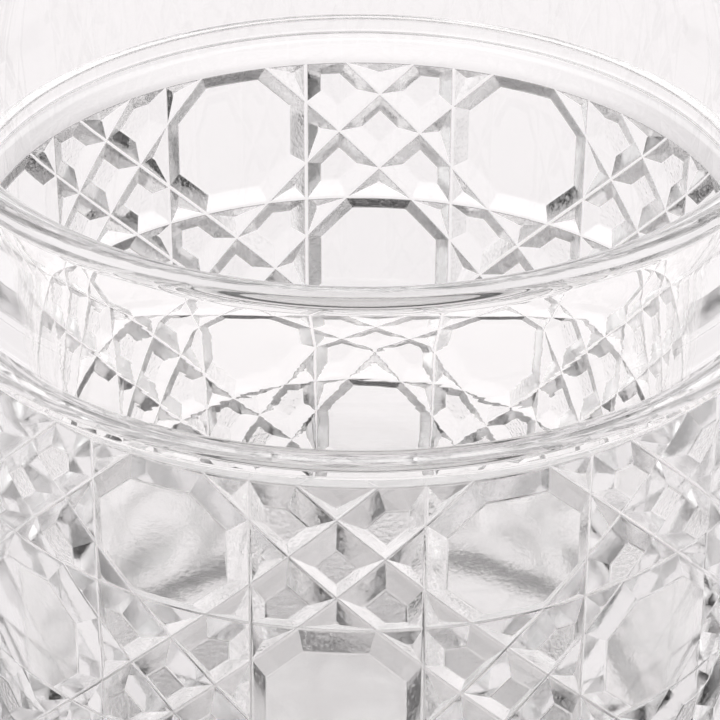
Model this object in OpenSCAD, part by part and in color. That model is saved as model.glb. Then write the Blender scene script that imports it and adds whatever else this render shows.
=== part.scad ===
// Cut-glass whiskey tumbler: one thick-walled piece of clear glass.
// A band of deep V-cuts (octagons alternating with eight-pointed stars) runs round the body,
// under a proud shoulder ring and a plain collar with a rounded rim. The base is solid and heavy.
// Units are mm, +Z is up, and the origin is the middle of the underside.

/* [Overall] */
// Overall height, from the foot to the top of the rim
height = 91; // [89:1:100]
// Radius at the bottom of the cuts, level with the shoulder ring
body_r = 39; // [37:0.5:42]
// Loss of body radius for each mm towards the foot
taper = 0.022; // [0:0.002:0.03]

/* [Collar and rim] */
// Height of the plain collar, shoulder ledge to rim top
collar_h = 15.4; // [12:0.2:18]
// Radius of the collar beyond the bottom of the cuts
collar_out = 1.1; // [0.8:0.1:1.4]
// Wall thickness at the rim, which is rounded right over
rim_wall = 3.3; // [2.8:0.1:4]

/* [Shoulder ring] */
// Radius of the ring beyond the bottom of the cuts
ring_out = 2.8; // [2.4:0.1:4]
// Height of the ring, ledge to underside
ring_h = 1.8; // [1.6:0.1:2.4]
// Rounding of the ring's upper and lower edges
ring_round = 0.7; // [0.3:0.1:0.8]

/* [Cut pattern] */
// Columns of cut cells round the body
columns = 16; // [12:2:20]
// Rows of cut cells
rows = 4; // [3:1:4]
// Height of one row
row_h = 15; // [13:0.5:15.5]
// Distance from the ledge down to the first row
row_top = 4; // [3.6:0.1:5]
// Depth of the cuts below the flats
cut_depth = 1.45; // [1:0.05:1.6]
// Width of one bevelled side of a cut, as a share of a cell
bevel = 0.109; // [0.1:0.001:0.115]
// Distance from a star's centre to the points of its middle diamond, as a share of a cell
star_point = 0.274; // [0.26:0.002:0.29]

/* [Base and inside] */
// Thickness of the solid base at its middle
base_t = 18; // [16:1:20]
// Radius of the heel, between the side and the foot
heel_r = 7; // [5:0.5:8]
// Depth of the shallow dish under the foot
dish_depth = 1.2; // [0.6:0.1:1.6]
// Radius of the dish
dish_r = 25; // [20:1:27]
// Widening of the inside for each mm towards the collar
draft = 0.045; // [0.03:0.005:0.05]
// Lean of the collar's inside face, which flares towards the rim, in degrees
flare = 7; // [5:0.5:8]
// Radius of the hollow curve between that face and the rim
cove_r = 36; // [30:2:40]
// Rounding between the inside wall and its floor
floor_round = 14; // [10:1:16]

/* [Hidden] */
glass = [0.90, 0.93, 0.94, 0.35];
arc_steps = 10;
slight_arc_steps = 4;
turn_steps = 128;
sew = 100000;

ledge_z = height - collar_h;
belt_top = ledge_z - row_top;
belt_bottom = belt_top - rows * row_h;
joint = 0.1;
bury = 1.2;
knee_drop = 1.6;
knee_r = 30;
rim_r = rim_wall / 2;
rim_mid = body_r + collar_out - rim_r;
half = 0.5 - star_point;

// Radius at the bottom of the cuts at height z.
function cut_r(z) = body_r + taper * (z - ledge_z);

// Points on an arc about centre m, from angle a0 to a1.
function arc(m, r, a0, a1, n = arc_steps) =
    [for (i = [0 : n]) let (a = a0 + (a1 - a0) * i / n) m + r * [cos(a), sin(a)]];

// ---- Cut pattern: flat shapes laid out in cells, x right and y up, one cell wide and high ----

function unit(v) = v / norm(v);
function left(v) = [-v[1], v[0]];
function quarter(p, k) = k == 0 ? p : quarter(left(p), k - 1);
function turned(shape, k) = [for (p = shape) quarter(p, k)];
function shifted(shape, d) = [for (p = shape) p + d];

diamond = [[star_point, 0], [0, star_point], [-star_point, 0], [0, -star_point]];
kite = [[star_point, 0], [0.5, half], [0.5, 0.5], [half, 0.5], [0, star_point]];
point_tri = [[star_point, 0], [0.5, -half], [0.5, half]];
octagon = [
    [0.5, -half], [0.5, half], [half, 0.5], [-half, 0.5],
    [-0.5, half], [-0.5, -half], [-half, -0.5], [half, -0.5]
];
corner_tri = [[0.5, half], [0.5, 0.5], [half, 0.5]];

star_cell = concat([diamond], [for (k = [0 : 3]) each [turned(kite, k), turned(point_tri, k)]]);
octagon_cell = concat([octagon], [for (k = [0 : 3]) turned(corner_tri, k)]);

// One shape's corners moved in by w from every side.
function inset(s, w) = let (n = len(s)) [
    for (i = [0 : n - 1])
        let (
            a = left(unit(s[i] - s[(i + n - 1) % n])),
            b = left(unit(s[(i + 1) % n] - s[i]))
        )
        s[i] + w * (a + b) / (1 + a * b)
];

// Middle of a triangle's inscribed circle, and that circle's radius.
function sides(t) = [norm(t[2] - t[1]), norm(t[0] - t[2]), norm(t[1] - t[0])];
function in_centre(t) = let (s = sides(t)) (s[0] * t[0] + s[1] * t[1] + s[2] * t[2]) / (s[0] + s[1] + s[2]);
function in_radius(t) =
    let (s = sides(t), p = (s[0] + s[1] + s[2]) / 2)
    sqrt((p - s[0]) * (p - s[1]) * (p - s[2]) / p);

// Corner numbers of the strips that fill a shape with n corners.
function strips(n) = [
    for (k = [0 : ceil(n / 2) - 2])
        let (a = (n - k) % n, b = k + 1, c = k + 2, d = n - k - 1)
        each (c == d ? [[a, b, c]] : [[a, b, c], [a, c, d]])
];

function raised(p, h) = [p[0], p[1], h];

// A small triangle rises to one point. Any other shape rises to a flat top with bevelled sides.
function pyramid(t) =
    let (m = raised(in_centre(t), cut_depth * min(1, in_radius(t) / bevel)))
    [for (i = [0 : 2]) [raised(t[i], 0), raised(t[(i + 1) % 3], 0), m]];
function flat_top(s) =
    let (n = len(s), q = inset(s, bevel))
    concat(
        [
            for (i = [0 : n - 1])
                let (j = (i + 1) % n, a = raised(s[i], 0), b = raised(s[j], 0), c = raised(q[j], cut_depth))
                each [[a, b, c], [a, c, raised(q[i], cut_depth)]]
        ],
        [for (f = strips(n)) [for (i = f) raised(q[i], cut_depth)]]
    );
function facets(s) = len(s) == 3 ? pyramid(s) : flat_top(s);

// ---- The pattern wrapped round the body ----

// A rounded turn, so that corners shared by neighbouring shapes meet exactly.
function turn(x) = 360 / columns * ((round(x * sew) + columns * sew) % (columns * sew)) / sew;
function height_at(y) = belt_bottom + row_h * round(y * sew) / sew;
function ring_point(a, r, z) = [r * cos(a), r * sin(a), z];
function wrapped(p) = let (z = height_at(p[1])) ring_point(turn(p[0]), cut_r(z) + p[2], z);

pattern = [
    for (i = [0 : columns - 1], j = [0 : rows - 1])
        for (s = (i + rows - 1 - j) % 2 == 0 ? star_cell : octagon_cell)
            for (t = facets(shifted(s, [i, j + 0.5])))
                [for (p = t) wrapped(p)]
];

// Each edge of the belt runs on, straight and unseen, into the solid beyond it.
edge_turns = [for (i = [0 : columns - 1]) each [turn(i - 0.5), turn(i - half), turn(i + half)]];
function edge_step(k) = edge_turns[k % len(edge_turns)];
function closing(z, out) = [
    for (k = [0 : len(edge_turns) - 1])
        let (
            r = cut_r(z),
            a = ring_point(edge_step(k), r, z),
            b = ring_point(edge_step(k + 1), r, z),
            c = ring_point(edge_step(k + 1), r, z + out),
            d = ring_point(edge_step(k), r, z + out),
            m = [0, 0, z + out]
        )
        each (out > 0 ? [[a, b, c], [a, c, d], [d, c, m]] : [[b, a, c], [c, a, d], [c, d, m]])
];

module cut_belt() {
    soup = concat(pattern, closing(belt_top, bury), closing(belt_bottom, -bury));
    polyhedron(
        points = [for (t = soup) each t],
        faces = [for (i = [0 : len(soup) - 1]) [3 * i + 2, 3 * i + 1, 3 * i]]
    );
}

// Collar with its rounded rim, and the shoulder ring under it.
module collar_and_ring() {
    foot_r = cut_r(belt_top) + joint;
    ring_r = body_r + ring_out;
    under_z = ledge_z - ring_h;
    rotate_extrude($fn = turn_steps)
        polygon(concat(
            [[0, belt_top + joint], [foot_r, belt_top + joint]],
            arc([ring_r - ring_round, under_z + ring_round], ring_round, -75, 0),
            arc([ring_r - ring_round, ledge_z - ring_round], ring_round, 0, 90),
            [[body_r + collar_out, ledge_z]],
            arc([rim_mid, height - rim_r], rim_r, 0, 90),
            [[0, height]]
        ));
}

// Solid base under the cut belt: a plain band, a rounded heel, and a dished foot.
module base() {
    neck_r = cut_r(belt_bottom) + joint;
    band_r = cut_r(belt_bottom) + cut_depth;
    band_z = belt_bottom - joint - bevel * row_h;
    sag_r = (dish_r * dish_r + dish_depth * dish_depth) / (2 * dish_depth);
    spread = asin(dish_r / sag_r);
    rotate_extrude($fn = turn_steps)
        polygon(concat(
            arc([0, dish_depth - sag_r], sag_r, 90, 90 - spread),
            arc([band_r - heel_r, heel_r], heel_r, -90, 0),
            [[band_r, band_z], [neck_r, belt_bottom - joint], [0, belt_bottom - joint]]
        ));
}

// The inside: flared in the collar, nearly straight below it, with a broad curve into a flat floor.
module inside() {
    rim_z = height - rim_r;
    lean = atan(draft);
    cove_mid = [rim_mid - rim_r - cove_r, rim_z];
    flare_top = cove_mid + cove_r * [cos(flare), -sin(flare)];
    flare_end = flare_top - (flare_top[1] - ledge_z + knee_drop) * [tan(flare), 1];
    knee_mid = flare_end + knee_r * [cos(flare), -sin(flare)];
    knee_end = knee_mid + knee_r * [-cos(lean), sin(lean)];
    corner_z = base_t + floor_round;
    corner_r = knee_end[0] - draft * (knee_end[1] - corner_z) - floor_round / cos(lean);
    rim_step = 90 / arc_steps;
    rotate_extrude($fn = turn_steps)
        polygon(concat(
            [[0, base_t]],
            arc([corner_r, corner_z], floor_round, -90, -lean),
            arc(knee_mid, knee_r, 180 - lean, 180 - flare, slight_arc_steps),
            arc(cove_mid, cove_r, -flare, 0, slight_arc_steps),
            arc([rim_mid, rim_z], rim_r, 180 - rim_step, 90, arc_steps - 1),
            [[rim_mid, height + joint], [0, height + joint]]
        ));
}

module tumbler() {
    color(glass)
        difference() {
            union() {
                cut_belt();
                collar_and_ring();
                base();
            }
            inside();
        }
}

tumbler();
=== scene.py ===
"""Looks of a cut-glass whiskey tumbler: the glass itself, the studio round it, and the camera."""

from math import atan, cos, degrees, dist, hypot, pi, radians, sin, sqrt, tan

import bpy
from mathutils import Matrix, Vector


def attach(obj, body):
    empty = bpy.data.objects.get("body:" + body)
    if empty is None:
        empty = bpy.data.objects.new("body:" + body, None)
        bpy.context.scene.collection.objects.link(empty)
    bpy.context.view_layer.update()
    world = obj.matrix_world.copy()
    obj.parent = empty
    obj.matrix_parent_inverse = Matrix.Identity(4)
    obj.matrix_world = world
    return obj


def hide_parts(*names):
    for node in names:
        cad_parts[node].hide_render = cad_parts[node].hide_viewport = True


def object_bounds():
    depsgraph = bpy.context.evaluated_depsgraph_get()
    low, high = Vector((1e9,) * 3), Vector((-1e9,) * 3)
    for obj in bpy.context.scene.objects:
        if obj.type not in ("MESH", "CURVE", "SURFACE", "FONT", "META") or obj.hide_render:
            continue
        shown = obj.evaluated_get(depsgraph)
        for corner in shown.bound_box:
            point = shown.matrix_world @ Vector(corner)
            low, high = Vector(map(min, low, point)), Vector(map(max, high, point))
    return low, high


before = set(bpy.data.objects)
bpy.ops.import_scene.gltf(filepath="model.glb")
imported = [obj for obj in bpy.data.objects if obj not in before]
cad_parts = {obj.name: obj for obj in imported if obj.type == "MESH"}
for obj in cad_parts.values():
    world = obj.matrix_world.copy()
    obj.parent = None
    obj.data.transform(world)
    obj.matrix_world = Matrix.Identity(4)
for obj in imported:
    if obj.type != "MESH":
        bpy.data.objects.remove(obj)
cad_low, cad_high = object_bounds()

# ---- Sizes in millimetres and angles in degrees, in the part's own frame ----

MM = 0.001
HEIGHT = cad_high.z / MM
COLUMNS = 16
ROWS = 4
ROW_H = 15.0
ROW_TOP = 4.0
BODY_R = 39.0
TAPER = 0.022
COLLAR_H = 15.4
COLLAR_OUT = 1.1
RING_OUT = 2.8
RING_H = 1.8
RING_ROUND = 0.7
RING_UNDERSIDE = -75
LEDGE_FILLET = 0.5
RIM_R = 1.65
COVE_R = 36.0
FLARE = 7.0
KNEE_DROP = 1.6
KNEE_R = 30.0
DRAFT = 0.045
FLOOR_ROUND = 14.0
BASE_T = 18.0
HEEL_R = 7.0
DISH_DEPTH = 1.2
DISH_R = 25.0

COLUMN_TURN = 2 * pi / COLUMNS
LEDGE_Z = HEIGHT - COLLAR_H
FLARE_Z = LEDGE_Z - KNEE_DROP
BELT_TOP = LEDGE_Z - ROW_TOP
BELT_BOTTOM = BELT_TOP - ROWS * ROW_H
COLLAR_R = BODY_R + COLLAR_OUT
RIM_MID = COLLAR_R - RIM_R
RIM_Z = HEIGHT - RIM_R

# Short straight parts that each stretch of the turned outline is made of.
PARTS = {
    "ring underside": 8, "ring top": 10, "ledge fillet": 6, "rim": 22, "cove": 12, "flare": 4,
    "knee": 8, "wall": 20, "floor bend": 26, "floor": 6, "dish": 10, "heel": 16,
}

# Closest that two places may be, and the digits that tell them apart.
SAME_MM = 1e-4
SAME_TURN = 1e-6
MM_DIGITS = 4
TURN_DIGITS = 5

# ---- Cut pattern, in shares of a cell unless it says millimetres ----

STAR_POINT = 0.274
HALF = 0.5 - STAR_POINT
BEVEL = 0.109
CUT_DEPTH = 1.45  # millimetres
VALLEY = 0.014
VALLEY_LIFT = 0.4
EDGE = 0.008
TIP = 0.012
SLOPE = CUT_DEPTH / BEVEL
STEEP = SLOPE / ROW_H
SIDE_SLICES = 5
MIDDLE_SLICES = 8
SEW = 1e-5

OUT = (0.0, 0.0, 1.0)
DIAMOND = [(STAR_POINT, 0), (0, STAR_POINT), (-STAR_POINT, 0), (0, -STAR_POINT)]
KITE = [(STAR_POINT, 0), (0.5, HALF), (0.5, 0.5), (HALF, 0.5), (0, STAR_POINT)]
POINT_TRI = [(STAR_POINT, 0), (0.5, -HALF), (0.5, HALF)]
OCTAGON = [
    (0.5, -HALF), (0.5, HALF), (HALF, 0.5), (-HALF, 0.5),
    (-0.5, HALF), (-0.5, -HALF), (-HALF, -0.5), (HALF, -0.5),
]
CORNER_TRI = [(0.5, HALF), (0.5, 0.5), (HALF, 0.5)]

CLEAR, WINDOW, FACET, SMALL_TOP = range(4)


def quarter_turned(shape, times):
    for _ in range(times):
        shape = [(-y, x) for x, y in shape]
    return shape


def moved_in(shape, width):
    """The shape's corners after every side moves in by width."""
    corners = []
    for (ax, ay), (bx, by), (cx, cy) in zip(shape[-1:] + shape[:-1], shape, shape[1:] + shape[:1]):
        before, after = hypot(bx - ax, by - ay), hypot(cx - bx, cy - by)
        m = ((ay - by) / before, (bx - ax) / before)
        n = ((by - cy) / after, (cx - bx) / after)
        k = width / (1 + m[0] * n[0] + m[1] * n[1])
        corners.append((bx + k * (m[0] + n[0]), by + k * (m[1] + n[1])))
    return corners


def in_circle(tri):
    """Middle and radius of a triangle's inscribed circle."""
    sides = [dist(tri[1], tri[2]), dist(tri[2], tri[0]), dist(tri[0], tri[1])]
    round_it = sum(sides)
    middle = tuple(sum(s * p[k] for s, p in zip(sides, tri)) / round_it for k in (0, 1))
    half = round_it / 2
    return middle, sqrt((half - sides[0]) * (half - sides[1]) * (half - sides[2]) / half)


def side_normals(shape):
    """The slope's outward normal over each side of the shape."""
    normals = []
    length = hypot(STEEP, 1)
    for (ax, ay), (bx, by) in zip(shape, shape[1:] + shape[:1]):
        run = hypot(bx - ax, by - ay)
        normals.append((
            STEEP * (by - ay) / run / length, -STEEP * (bx - ax) / run / length, 1 / length
        ))
    return normals


def corner(p, height, normal):
    """A face's corner: place across and up the cell, millimetres above the cuts, and normal."""
    return (p[0], p[1], height) + normal


def band(low, high, i, low_h, high_h, low_n, high_n):
    """The face on side i between two rings of corners."""
    j = (i + 1) % len(low)
    return [
        corner(low[i], low_h, low_n), corner(low[j], low_h, low_n),
        corner(high[j], high_h, high_n), corner(high[i], high_h, high_n),
    ]


def cut_faces(shape):
    """Faces of a raised shape: rounded valley, bevelled sides, softened edge, then a top or tip."""
    is_tri = len(shape) == 3
    middle, reach = in_circle(shape) if is_tri else (None, BEVEL)
    soft = TIP if is_tri else EDGE
    foot, brow = moved_in(shape, VALLEY), moved_in(shape, reach - soft)
    foot_h, brow_h, tip_h = SLOPE * VALLEY, SLOPE * (reach - soft), SLOPE * (reach - soft / 2)
    top = [] if is_tri else moved_in(shape, BEVEL + EDGE)
    faces = []
    for i, slope in enumerate(side_normals(shape)):
        faces.append((FACET, band(shape, foot, i, foot_h * VALLEY_LIFT, foot_h, OUT, slope)))
        faces.append((FACET, band(foot, brow, i, foot_h, brow_h, slope, slope)))
        if is_tri:
            ends = [corner(brow[k], brow_h, slope) for k in (i, (i + 1) % 3)]
            faces.append((FACET, ends + [corner(middle, tip_h, OUT)]))
        else:
            faces.append((FACET, band(brow, top, i, brow_h, CUT_DEPTH, slope, OUT)))
    if top:
        kind = WINDOW if len(shape) == len(OCTAGON) else SMALL_TOP
        faces.append((kind, [corner(p, CUT_DEPTH, OUT) for p in top]))
    return faces


def cell_faces(centre, outer):
    """Faces of one cell: the shape in its centre, and the outer shapes in each quarter."""
    shapes = [centre] + [quarter_turned(s, k) for k in range(4) for s in outer]
    return [f for s in shapes for f in cut_faces(s)]


def slice_lines():
    """Where upright lines cut a cell, so that its faces can follow the round body."""
    stretches = (
        (-0.5, -HALF, SIDE_SLICES), (-HALF, HALF, MIDDLE_SLICES), (HALF, 0.5, SIDE_SLICES)
    )
    return [a + (b - a) * k / n for a, b, n in stretches for k in range(n)] + [0.5]


def clipped(face, line, keep_right):
    """The part of a flat face on one side of an upright line."""
    kept = []
    side = 1 if keep_right else -1
    for p, q in zip(face, face[1:] + face[:1]):
        from_line, next_from = side * (p[0] - line), side * (q[0] - line)
        if from_line > -SEW:
            kept.append(p)
        if (from_line > SEW and next_from < -SEW) or (from_line < -SEW and next_from > SEW):
            t = from_line / (from_line - next_from)
            kept.append(tuple(a + t * (b - a) for a, b in zip(p, q)))
    return kept


def sliced(face, lines):
    """The face cut into the strips that lie between upright lines."""
    left, right = min(p[0] for p in face), max(p[0] for p in face)
    strips = []
    for a, b in zip(lines, lines[1:]):
        if b > left + SEW and a < right - SEW:
            strip = clipped(clipped(face, a, True), b, False)
            if len(strip) > 2:
                strips.append(strip)
    return strips


def cut_radius(z):
    """Radius at the bottom of the cuts."""
    return BODY_R + TAPER * (z - LEDGE_Z)


# ---- The mesh: corners shared by position, with a normal for each face's corner ----


def placed(name, data):
    """A new object in the scene."""
    obj = bpy.data.objects.new(name, data)
    bpy.context.scene.collection.objects.link(obj)
    return obj


class GlassMesh:
    def __init__(self):
        self.places, self.points, self.faces, self.kinds, self.normals = {}, [], [], [], []

    def point(self, r, angle, z):
        """The number of the corner at a place, made when it is first asked for."""
        turn = angle % (2 * pi)
        if turn > 2 * pi - SAME_TURN or r < SAME_TURN:
            turn = 0.0
        key = (round(r, MM_DIGITS), round(turn, TURN_DIGITS), round(z, MM_DIGITS))
        if key not in self.places:
            self.places[key] = len(self.points)
            self.points.append((r * cos(turn) * MM, r * sin(turn) * MM, z * MM))
        return self.places[key]

    def face(self, kind, corners):
        """corners are (r, angle, z, normal round, normal up, normal out)."""
        ids, normals = [], []
        for r, angle, z, n_round, n_up, n_out in corners:
            i = self.point(r, angle, z)
            if i in ids:
                continue
            ids.append(i)
            c, s = cos(angle), sin(angle)
            normals.append((n_out * c - n_round * s, n_out * s + n_round * c, n_up))
        if len(ids) > 2:
            self.faces.append(ids)
            self.kinds.append(kind)
            self.normals += normals

    def lathe(self, profile, angles):
        """profile is (r, z, normal out, normal up), run so that the glass is on its left."""
        for (r0, z0, no0, nu0), (r1, z1, no1, nu1) in zip(profile, profile[1:]):
            if hypot(r1 - r0, z1 - z0) < SAME_MM:
                continue
            for a, b in zip(angles, angles[1:] + [angles[0] + 2 * pi]):
                self.face(CLEAR, [
                    (r0, a, z0, 0, nu0, no0), (r0, b, z0, 0, nu0, no0),
                    (r1, b, z1, 0, nu1, no1), (r1, a, z1, 0, nu1, no1),
                ])

    def made(self, name, materials):
        mesh = bpy.data.meshes.new(name)
        mesh.from_pydata(self.points, [], self.faces)
        for m in materials:
            mesh.materials.append(m)
        mesh.polygons.foreach_set("material_index", self.kinds)
        mesh.polygons.foreach_set("use_smooth", [True] * len(self.faces))
        mesh.normals_split_custom_set([Vector(n).normalized() for n in self.normals])
        return placed(name, mesh)


def straight(p, q, parts=1):
    """Profile points along a line, the glass on its left as it runs."""
    run = dist(p, q)
    out, up = (q[1] - p[1]) / run, (p[0] - q[0]) / run
    return [
        (p[0] + (q[0] - p[0]) * k / parts, p[1] + (q[1] - p[1]) * k / parts, out, up)
        for k in range(parts + 1)
    ]


def bend(middle, radius, start, end, parts, hollow=False):
    """Profile points along an arc from angle start to end. A hollow bend curves round air."""
    points = []
    side = -1 if hollow else 1
    for k in range(parts + 1):
        a = radians(start + (end - start) * k / parts)
        points.append((
            middle[0] + radius * cos(a), middle[1] + radius * sin(a), side * cos(a), side * sin(a)
        ))
    return points


def joined(*runs):
    """One profile from runs, with a straight line from each one's end to the next one's start."""
    profile = list(runs[0])
    for run in runs[1:]:
        if dist(profile[-1][:2], run[0][:2]) > SAME_MM:
            profile += straight(profile[-1][:2], run[0][:2])
        profile += run
    return profile


def upper_profile():
    """From the top of the cut belt: ring, ledge, collar, rim, inside wall and floor."""
    ring_mid = BODY_R + RING_OUT - RING_ROUND
    ring_under = bend(
        (ring_mid, LEDGE_Z - RING_H + RING_ROUND), RING_ROUND, RING_UNDERSIDE, 0,
        PARTS["ring underside"],
    )
    ring_top = bend((ring_mid, LEDGE_Z - RING_ROUND), RING_ROUND, 0, 90, PARTS["ring top"])
    fillet_mid = (COLLAR_R + LEDGE_FILLET, LEDGE_Z + LEDGE_FILLET)
    fillet = bend(fillet_mid, LEDGE_FILLET, 270, 180, PARTS["ledge fillet"], hollow=True)
    rim = bend((RIM_MID, RIM_Z), RIM_R, 0, 180, PARTS["rim"])

    cove_mid = (RIM_MID - RIM_R - COVE_R, RIM_Z)
    cove = bend(cove_mid, COVE_R, 0, -FLARE, PARTS["cove"], hollow=True)
    cove_r, cove_z = cove[-1][:2]
    flare_r = cove_r - tan(radians(FLARE)) * (cove_z - FLARE_Z)
    knee_mid = (flare_r + KNEE_R * cos(radians(FLARE)), FLARE_Z - KNEE_R * sin(radians(FLARE)))
    lean = atan(DRAFT)
    knee = bend(knee_mid, KNEE_R, 180 - FLARE, 180 - degrees(lean), PARTS["knee"])
    knee_r, knee_z = knee[-1][:2]

    bend_z = BASE_T + FLOOR_ROUND
    bend_r = knee_r - DRAFT * (knee_z - bend_z) - FLOOR_ROUND / cos(lean)
    floor_bend = bend(
        (bend_r, bend_z), FLOOR_ROUND, -degrees(lean), -90, PARTS["floor bend"], hollow=True
    )
    return joined(
        straight((cut_radius(BELT_TOP), BELT_TOP), ring_under[0][:2]),
        ring_under,
        ring_top,
        fillet,
        rim,
        cove,
        straight((cove_r, cove_z), knee[0][:2], PARTS["flare"]),
        knee,
        straight((knee_r, knee_z), floor_bend[0][:2], PARTS["wall"]),
        floor_bend,
        straight(floor_bend[-1][:2], (0, BASE_T), PARTS["floor"]),
    )


def lower_profile():
    """From the axis under the foot: dish, foot, heel, plain band, and up into the lowest valley."""
    band_r = cut_radius(BELT_BOTTOM) + CUT_DEPTH
    dish_round = (DISH_R**2 + DISH_DEPTH**2) / (2 * DISH_DEPTH)
    dish_end = 90 - degrees(atan(DISH_R / (dish_round - DISH_DEPTH)))
    return joined(
        bend((0, DISH_DEPTH - dish_round), dish_round, 90, dish_end, PARTS["dish"], hollow=True),
        bend((band_r - HEEL_R, HEEL_R), HEEL_R, -90, 0, PARTS["heel"]),
        straight((band_r, BELT_BOTTOM - BEVEL * ROW_H), (cut_radius(BELT_BOTTOM), BELT_BOTTOM)),
    )


def on_body(corners, column, row):
    """A face's corners carried from its flat cell to their place on the round body."""
    carried = []
    for x, y, h, n_round, n_up, n_out in corners:
        rows_up = y + row + 0.5
        z = BELT_BOTTOM + ROW_H * rows_up
        on_belt_edge = abs(rows_up) < SEW or abs(rows_up - ROWS) < SEW
        r = cut_radius(z) + (0 if on_belt_edge else h)
        carried.append((r, (x + column) * COLUMN_TURN, z, n_round, n_up, n_out))
    return carried


def whole_glass():
    mesh = GlassMesh()
    lines = slice_lines()
    cells = [
        [(kind, strip) for kind, face in cell for strip in sliced(face, lines)]
        for cell in (cell_faces(DIAMOND, [KITE, POINT_TRI]), cell_faces(OCTAGON, [CORNER_TRI]))
    ]
    for i in range(COLUMNS):
        for j in range(ROWS):
            for kind, strip in cells[(i + ROWS - 1 - j) % 2]:
                mesh.face(kind, on_body(strip, i, j))
    angles = [(i + x) * COLUMN_TURN for i in range(COLUMNS) for x in lines[:-1]]
    mesh.lathe(upper_profile(), angles)
    mesh.lathe(lower_profile(), angles)
    return mesh


# ---- Materials ----

CLEAR_GLASS = {
    "Base Color": (0.995, 0.994, 0.991, 1.0), "IOR": 1.52, "Transmission Weight": 1.0,
}
PALE_PAPER = {"Base Color": (0.93, 0.91, 0.915, 1), "Roughness": 0.8, "Specular IOR Level": 0.1}

# Fine unevenness of the glass: how wide its lumps are and how high, in millimetres.
FLOW = (9.0, 0.010)
RIPPLE = (3.2, 0.0012)
SWELL = (4.5, 0.05)
WINDOW_GRAIN = (0.4, 0.006)
CUT_GRAIN = (0.36, 0.006)
TOP_GRAIN = (0.42, 0.09)

# Satin specks on the cut facets, and the roughness of each finish.
SPECK_WIDTH = 0.36  # millimetres
SPECK_CONTRAST = 3.0
SPECK_SHARE = 0.4
SPECK_ROUGH = 0.23
CUT_ROUGH = 0.02
WINDOW_ROUGH = 0.13
TOP_ROUGH = 0.26


class Socket:
    """One value in a node tree. Sums on it add Math nodes."""

    def __init__(self, nodes, socket):
        self.nodes, self.socket = nodes, socket

    def maths(self, operation, *values):
        return self.nodes.add("ShaderNodeMath", {"operation": operation}, dict(enumerate(values)))

    def __add__(self, other):
        return self.maths("ADD", self, other)

    def __radd__(self, other):
        return self.maths("ADD", other, self)

    def __sub__(self, other):
        return self.maths("SUBTRACT", self, other)

    def __rsub__(self, other):
        return self.maths("SUBTRACT", other, self)

    def __mul__(self, other):
        return self.maths("MULTIPLY", self, other)

    def __rmul__(self, other):
        return self.maths("MULTIPLY", other, self)

    def clamped(self):
        return self.maths("MAXIMUM", self.maths("MINIMUM", self, 1.0), 0.0)


class Nodes:
    """Adds nodes to one tree."""

    def __init__(self, tree):
        self.tree = tree
        self.tree.nodes.clear()

    def add(self, kind, settings=None, values=None, out=0):
        """A new node's output. values holds numbers, colours and links, by input name or place."""
        node = self.tree.nodes.new(kind)
        for name, setting in (settings or {}).items():
            setattr(node, name, setting)
        for name, value in (values or {}).items():
            if isinstance(value, Socket):
                self.tree.links.new(value.socket, node.inputs[name])
            else:
                node.inputs[name].default_value = value
        return Socket(self, node.outputs[out]) if node.outputs else None


def noise(nodes, width_mm, detail=2.0, stretch=(1, 1, 1)):
    """Noise from 0 to 1, whose lumps are about width_mm across."""
    place = nodes.add("ShaderNodeTexCoord", out="Object")
    place = nodes.add("ShaderNodeMapping", None, {"Vector": place, "Scale": stretch})
    values = {"Vector": place, "Scale": 1 / (width_mm * MM), "Detail": detail}
    return nodes.add("ShaderNodeTexNoise", None, values)


def lumps(nodes, unevenness, detail, stretch=(1, 1, 1)):
    """The height in millimetres of one kind of unevenness."""
    width_mm, height_mm = unevenness
    return noise(nodes, width_mm, detail, stretch) * height_mm


def bump(nodes, height_mm):
    values = {"Strength": 1.0, "Distance": MM, "Height": height_mm}
    return nodes.add("ShaderNodeBump", None, values)


def fire_polished(nodes):
    """Shallow flow lines, and slight ripples, that run round the smooth glass from the press."""
    flow = lumps(nodes, FLOW, 1.0, (1, 1, 2))
    ripples = lumps(nodes, RIPPLE, 1.0, (1, 1, 5))
    return {"Roughness": 0.0, "Normal": bump(nodes, flow + ripples)}


def pressed_window(nodes):
    """The soft unevenness of the large flats."""
    swell = lumps(nodes, SWELL, 1.0)
    grain = lumps(nodes, WINDOW_GRAIN, 2.0)
    return {"Roughness": WINDOW_ROUGH, "Normal": bump(nodes, swell + grain)}


def satin_cut(nodes):
    """Cut facets with a faint grain: clear glass, with fine specks of satin all over."""
    specks = (noise(nodes, SPECK_WIDTH) - 0.5) * SPECK_CONTRAST + SPECK_SHARE
    roughness = specks.clamped() * SPECK_ROUGH + CUT_ROUGH
    return {"Roughness": roughness, "Normal": bump(nodes, lumps(nodes, CUT_GRAIN, 3.0))}


def frosted_top(nodes):
    """The coarser frosting of the small flats."""
    return {"Roughness": TOP_ROUGH, "Normal": bump(nodes, lumps(nodes, TOP_GRAIN, 2.5))}


def principled(name, values_in):
    """A material of one shader. values_in(nodes) gives what the shader's sockets hold."""
    material = bpy.data.materials.new(name)
    material.use_nodes = True
    nodes = Nodes(material.node_tree)
    shader = nodes.add("ShaderNodeBsdfPrincipled", None, values_in(nodes))
    nodes.add("ShaderNodeOutputMaterial", None, {"Surface": shader})
    return material


def glass_material(name, finish):
    return principled(name, lambda nodes: CLEAR_GLASS | finish(nodes))


# ---- Studio, in metres and degrees ----

FLOOR_REACH = 3.0
SOFTBOX_EYE, SOFTBOX_AIM = (0, 0.80, 0.75), (0, 0.25, 0)
SOFTBOX_SIZE = (1.0, 0.6)
SOFTBOX_WATTS = 3.1

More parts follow.
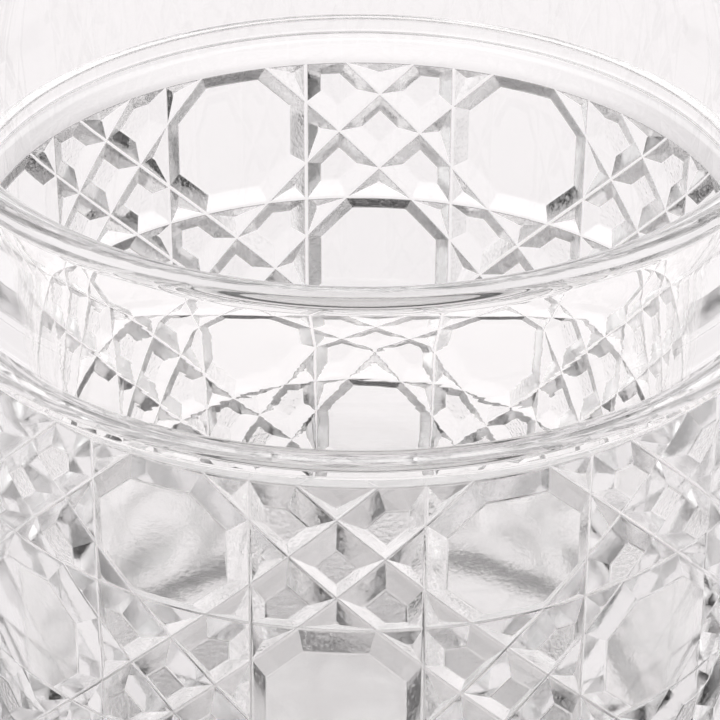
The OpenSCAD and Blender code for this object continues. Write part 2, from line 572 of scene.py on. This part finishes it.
# Parts of the studio: turn from straight behind the glass, height, reach and soft edge.
BEHIND = (0, 20, 30, 15)
FRONT_LEFT = (-132, 25, 26, 14)
DARK_CORNER = (150, 26, 42, 6)
AIR_COLOUR = (1.0, 0.985, 0.99, 1)
AIR = 0.56
BEHIND_GAIN = 0.20
FRONT_LEFT_GAIN = 0.28
DARK_CORNER_SHARE = 0.97
BACKDROP = 0.95
AIR_ON_FLOOR = 0.84
FILL = 0.14
FILL_FROM = 3.0

SENSOR = 36.0  # millimetres
LENS = 246.8  # millimetres
CAMERA_AWAY, CAMERA_UP = 0.3917, 0.302
CAMERA_SWING, CAMERA_DIP, CAMERA_ROLL = radians(2.81), radians(31.67), radians(0.29)
CAMERA_CLIP = (0.01, 20)
BOUNCES = 24


def aimed(obj, eye, target, roll=0.0):
    direction = (target - eye).normalized()
    obj.matrix_world = Matrix.Translation(eye) @ (
        direction.to_track_quat("-Z", "Y").to_matrix().to_4x4() @ Matrix.Rotation(roll, 4, "Z")
    )


def floor():
    a = FLOOR_REACH
    mesh = bpy.data.meshes.new("studio_floor")
    mesh.from_pydata([(-a, -a, 0), (a, -a, 0), (a, a, 0), (-a, a, 0)], [], [(0, 1, 2, 3)])
    mesh.materials.append(principled("pale_floor", lambda nodes: PALE_PAPER))
    placed("studio_floor", mesh)


def softbox():
    """A large soft light, high behind the glass."""
    light = bpy.data.lights.new("back_softbox", "AREA")
    light.shape = "RECTANGLE"
    light.size, light.size_y = SOFTBOX_SIZE
    light.energy = SOFTBOX_WATTS
    aimed(placed("back_softbox", light), Vector(SOFTBOX_EYE), Vector(SOFTBOX_AIM))


def studio_air():
    """A white studio, brighter behind the glass and at the front left, with a dark corner."""
    world = bpy.data.worlds.new("studio_air")
    bpy.context.scene.world = world
    world.use_nodes = True
    nodes = Nodes(world.node_tree)
    direction = nodes.add("ShaderNodeTexCoord", out="Generated")

    def patch(turn, up, reach, softness):
        """1 within reach of a direction, falling to 0 over its soft edge."""
        turn, up = radians(turn), radians(up)
        middle = (sin(turn) * cos(up), cos(turn) * cos(up), sin(up))
        values = {0: direction, 1: middle}
        near = nodes.add("ShaderNodeVectorMath", {"operation": "DOT_PRODUCT"}, values, "Value")
        outer, inner = cos(radians(reach + softness)), cos(radians(reach))
        return ((near - outer) * (1 / (inner - outer))).clamped()

    room = AIR + patch(*BEHIND) * BEHIND_GAIN + patch(*FRONT_LEFT) * FRONT_LEFT_GAIN
    room = room * (1.0 - patch(*DARK_CORNER) * DARK_CORNER_SHARE)
    # The camera sees an even backdrop behind the glass, and the floor gets even light.
    to_camera = nodes.add("ShaderNodeLightPath", out="Is Camera Ray")
    off_floor = nodes.add("ShaderNodeLightPath", out="Diffuse Depth").clamped()
    room = room + (BACKDROP - room) * to_camera
    room = room + (AIR_ON_FLOOR - room) * off_floor
    # Light that has crossed the glass many times stands for what the satin cuts scatter.
    crossings = nodes.add("ShaderNodeLightPath", out="Transmission Depth")
    fill = ((crossings - FILL_FROM) * FILL).clamped()
    air = nodes.add("ShaderNodeBackground", None, {"Color": AIR_COLOUR, "Strength": room + fill})
    nodes.add("ShaderNodeOutputWorld", None, {"Surface": air})


def studio_camera():
    """A long lens, looking down over the rim from in front and slightly to the right."""
    camera = bpy.data.cameras.new("camera")
    camera.sensor_width = SENSOR
    camera.lens = LENS
    camera.clip_start, camera.clip_end = CAMERA_CLIP
    side, back = sin(CAMERA_SWING), -cos(CAMERA_SWING)
    eye = Vector((CAMERA_AWAY * side, CAMERA_AWAY * back, CAMERA_UP))
    look = Vector((-side * cos(CAMERA_DIP), -back * cos(CAMERA_DIP), -sin(CAMERA_DIP)))
    obj = placed("camera", camera)
    aimed(obj, eye, eye + look, CAMERA_ROLL)
    bpy.context.scene.camera = obj


floor()
studio_air()
softbox()
studio_camera()

finishes = [
    glass_material("smooth_glass", fire_polished),
    glass_material("window_glass", pressed_window),
    glass_material("cut_glass", satin_cut),
    glass_material("frosted_glass", frosted_top),
]
tumbler = whole_glass().made("cut_tumbler", finishes)
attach(tumbler, "root")
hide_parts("tumbler")

scene = bpy.context.scene
scene.view_settings.view_transform = "Standard"
for limit in ("max_bounces", "transmission_bounces", "glossy_bounces"):
    setattr(scene.cycles, limit, BOUNCES)
scene.cycles.caustics_refractive = True
